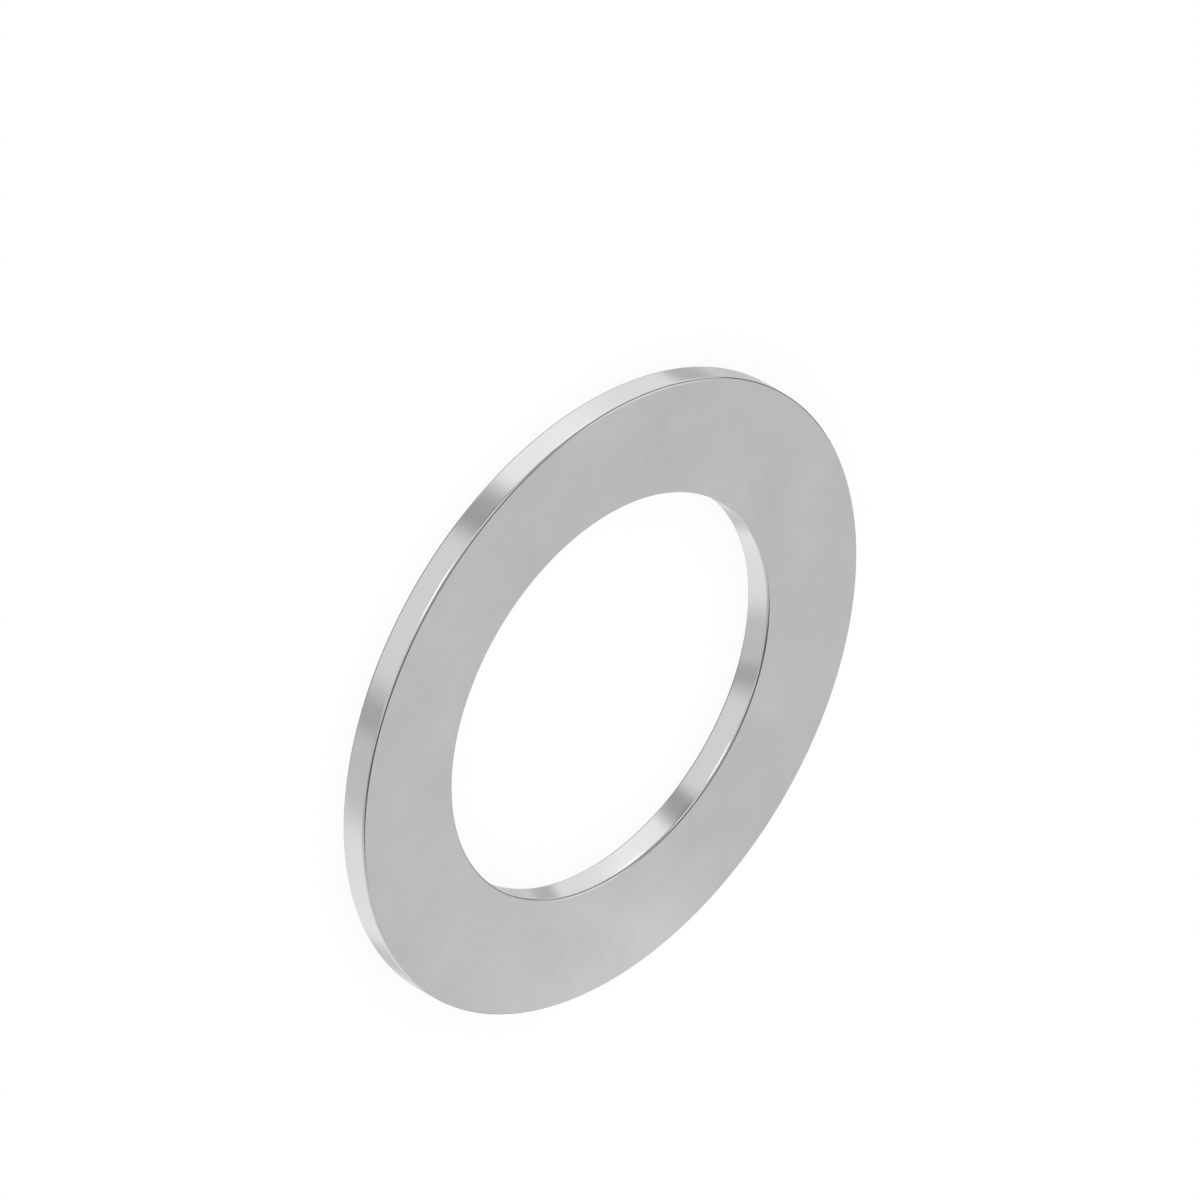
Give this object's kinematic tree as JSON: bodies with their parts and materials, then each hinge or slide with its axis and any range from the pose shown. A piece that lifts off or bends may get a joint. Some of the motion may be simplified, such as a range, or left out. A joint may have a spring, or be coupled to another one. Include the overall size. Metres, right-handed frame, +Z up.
{
  "type": "hardened washer",
  "caption": "Flat round steel ring with a plain bore and rounded edges, a hardened seat for thrust or clamping load on a shaft or bolt.",
  "frame": {"origin": "centre of the lower flat face, on the bore's axis", "axes": "+Z up along the bore's axis, from the lower face to the upper face; X and Y lie in the lower face, and the ring is the same all round"},
  "size_m": [0.047, 0.047, 0.002],
  "materials": {
    "hardened_steel": "bright hardened steel: finely lapped satin faces, smoother turned rim and bore, tumbled edges"
  },
  "bodies": {
    "root": {"washer": "hardened_steel"}
  },
  "joints": []
}
